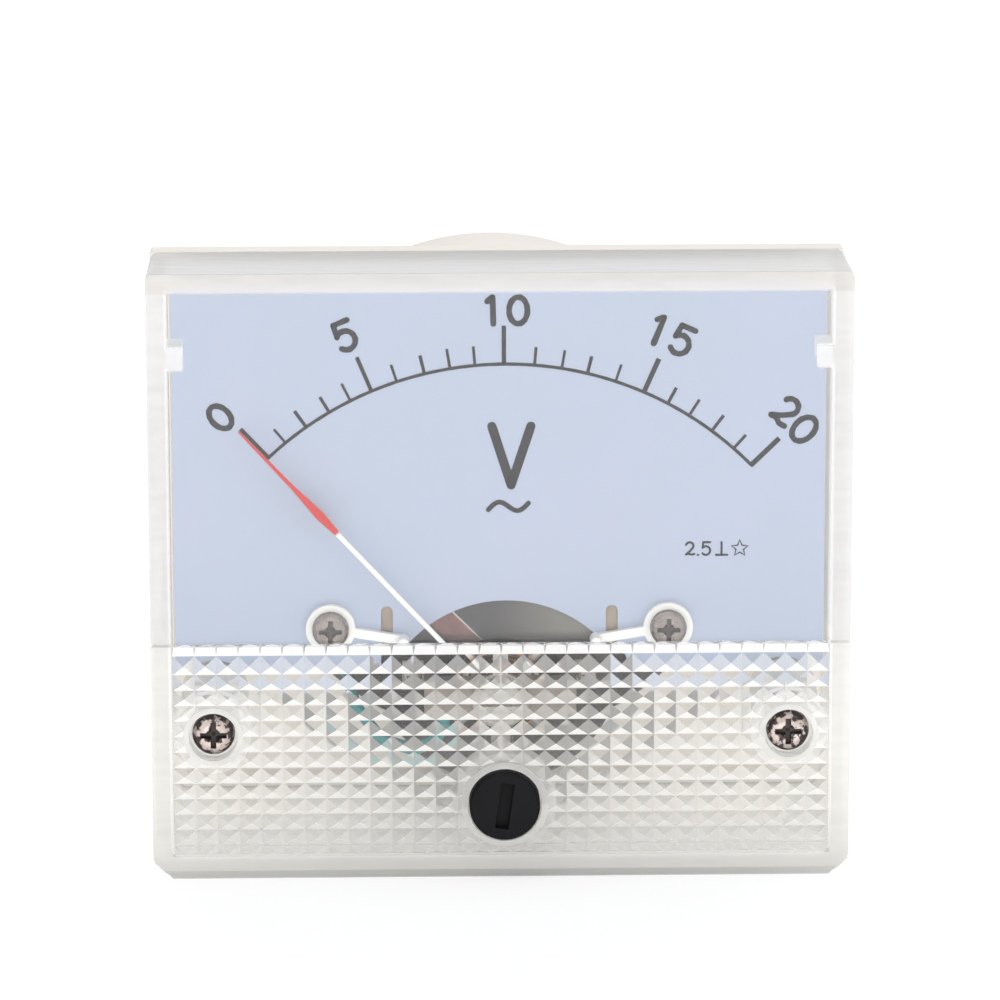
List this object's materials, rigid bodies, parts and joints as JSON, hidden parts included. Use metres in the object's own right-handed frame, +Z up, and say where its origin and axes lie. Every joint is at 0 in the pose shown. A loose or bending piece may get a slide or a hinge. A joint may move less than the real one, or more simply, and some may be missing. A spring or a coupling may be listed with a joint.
{
  "type": "analog panel meter",
  "caption": "Square clear-front panel voltmeter with a pale blue dial, a prism panel, a red-tipped pointer, a zero adjuster and a round rear housing.",
  "frame": {"origin": "on the drum's axis, in the plane of the flange's rear face, which bears on the panel", "axes": "+X to the right and +Z up as seen from the front, +Y along the drum's axis into the panel; the window faces -Y"},
  "size_m": [0.064, 0.0605, 0.0564],
  "materials": {
    "clear_acrylic": "clear polished acrylic with moulded prisms",
    "ivory_housing": "satin white moulding",
    "black_plastic": "satin black moulding",
    "white_nylon": "natural white nylon",
    "dial_blue": "matt pale blue enamel",
    "pointer_paint": "white paint with a red spear",
    "worn_nickel": "worn nickel with brown stain",
    "bright_nickel": "bright nickel plate",
    "brass": "turned brass",
    "bronze_strip": "phosphor bronze strip",
    "ruby": "polished synthetic ruby",
    "tin": "tinned",
    "aluminium": "satin",
    "copper_wire": "enamelled copper wire",
    "hard_steel": "polished hard steel",
    "magnet_alloy": "ground magnet alloy",
    "soft_iron": "turned and plated soft iron",
    "cast_alloy": "die-cast, satin",
    "board_laminate": "phenolic paper laminate",
    "diode_glass": "glass with a dark band",
    "resistor_coat": "teal lacquer",
    "teal_sleeve": "teal insulation",
    "red_sleeve": "red insulation"
  },
  "bodies": {
    "meter": {"front_cover": "clear_acrylic", "cover_screw_left": "worn_nickel", "cover_screw_right": "worn_nickel", "base_housing": "ivory_housing", "dial_plate": "dial_blue", "dial_screw_left": "bright_nickel", "dial_screw_right": "bright_nickel", "pointer_stop_left": "white_nylon", "pointer_stop_right": "white_nylon", "front_hairspring": "bronze_strip", "rear_hairspring": "bronze_strip", "front_bearing_screw": "bright_nickel", "front_jewel": "ruby", "rear_bearing_screw": "brass", "rear_jewel": "ruby", "rear_lock_nut": "brass", "front_bridge": "aluminium", "rear_bridge": "aluminium", "bridge_screws": "bright_nickel", "core_magnet": "magnet_alloy", "core_clip_front": "bright_nickel", "core_clip_rear": "bright_nickel", "yoke_ring": "soft_iron", "movement_frame": "cast_alloy", "frame_screws": "bright_nickel", "circuit_board": "board_laminate", "board_screws": "bright_nickel", "rectifier_diodes": "diode_glass", "series_resistor": "resistor_coat", "coil_lead_front": "teal_sleeve", "coil_lead_rear": "red_sleeve", "terminal_stud_left": "brass", "terminal_stud_right": "brass", "terminal_lugs": "tin", "terminal_washers": "brass", "terminal_nuts": "brass", "panel_stud_left": "bright_nickel", "panel_stud_right": "bright_nickel", "panel_washers": "bright_nickel", "panel_nuts": "bright_nickel"},
    "moving_coil": {"pointer": "pointer_paint", "balance_weights": "tin", "coil_former": "aluminium", "coil_winding": "copper_wire", "front_pivot": "hard_steel", "rear_pivot": "hard_steel"},
    "adjuster": {"zero_adjuster": "black_plastic"},
    "lever": {"zero_lever": "bright_nickel"}
  },
  "joints": [
    {"name": "pointer_swing", "type": "hinge", "parent": "meter", "child": "moving_coil", "pos_m": [0, -0.0098, -0.013], "axis": [0, 1, 0], "range_deg": [-10, 95], "stiffness_Nm_per_rad": 0.0002},
    {"name": "adjuster_turn", "type": "hinge", "parent": "meter", "child": "adjuster", "pos_m": [0.0003, -0.015, -0.0212], "axis": [0, 1, 0], "range_deg": [-40, 40]},
    {"name": "lever_turn", "type": "hinge", "parent": "meter", "child": "lever", "pos_m": [0, -0.0123, -0.013], "axis": [0, 1, 0], "range_deg": [-6, 6]}
  ],
  "couplings": [
    {"joint": "lever_turn", "follows": "adjuster_turn", "ratio": -0.142}
  ]
}
